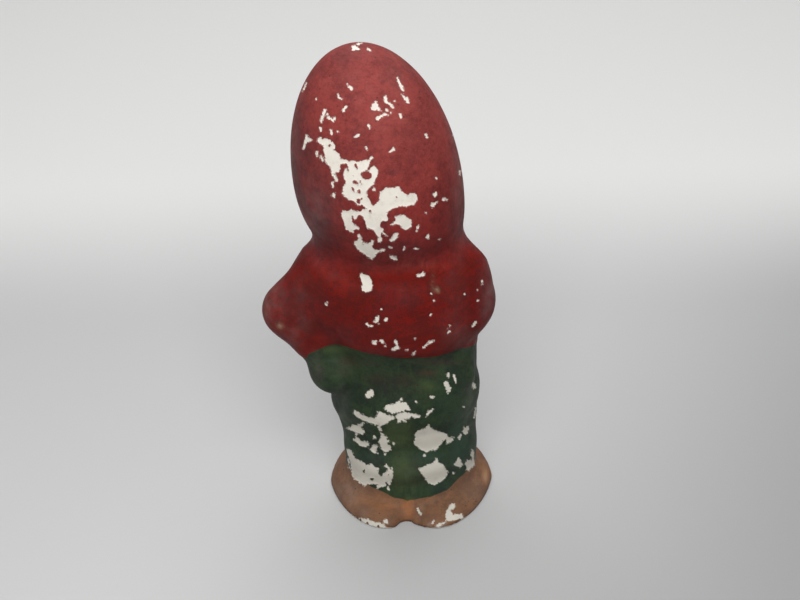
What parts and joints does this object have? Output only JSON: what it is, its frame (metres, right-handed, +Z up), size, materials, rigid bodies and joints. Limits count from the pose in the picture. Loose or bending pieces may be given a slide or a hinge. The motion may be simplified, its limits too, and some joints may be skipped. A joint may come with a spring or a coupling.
{
  "type": "christmas gnome figurine",
  "caption": "Small standing gnome figure with a tall pointed hood, a long beard, one hand in its pocket and the other on its belly.",
  "frame": {"origin": "on the standing surface, midway between the soles", "axes": "+Z up, the gnome faces -Y and its left hand is on the +X side"},
  "size_m": [0.0557, 0.0407, 0.1183],
  "materials": {
    "painted_plaster": "matte, hand painted in red, green and brown over white plaster, with the paint flaked"
  },
  "bodies": {
    "root": {"figurine": "painted_plaster"}
  },
  "joints": []
}
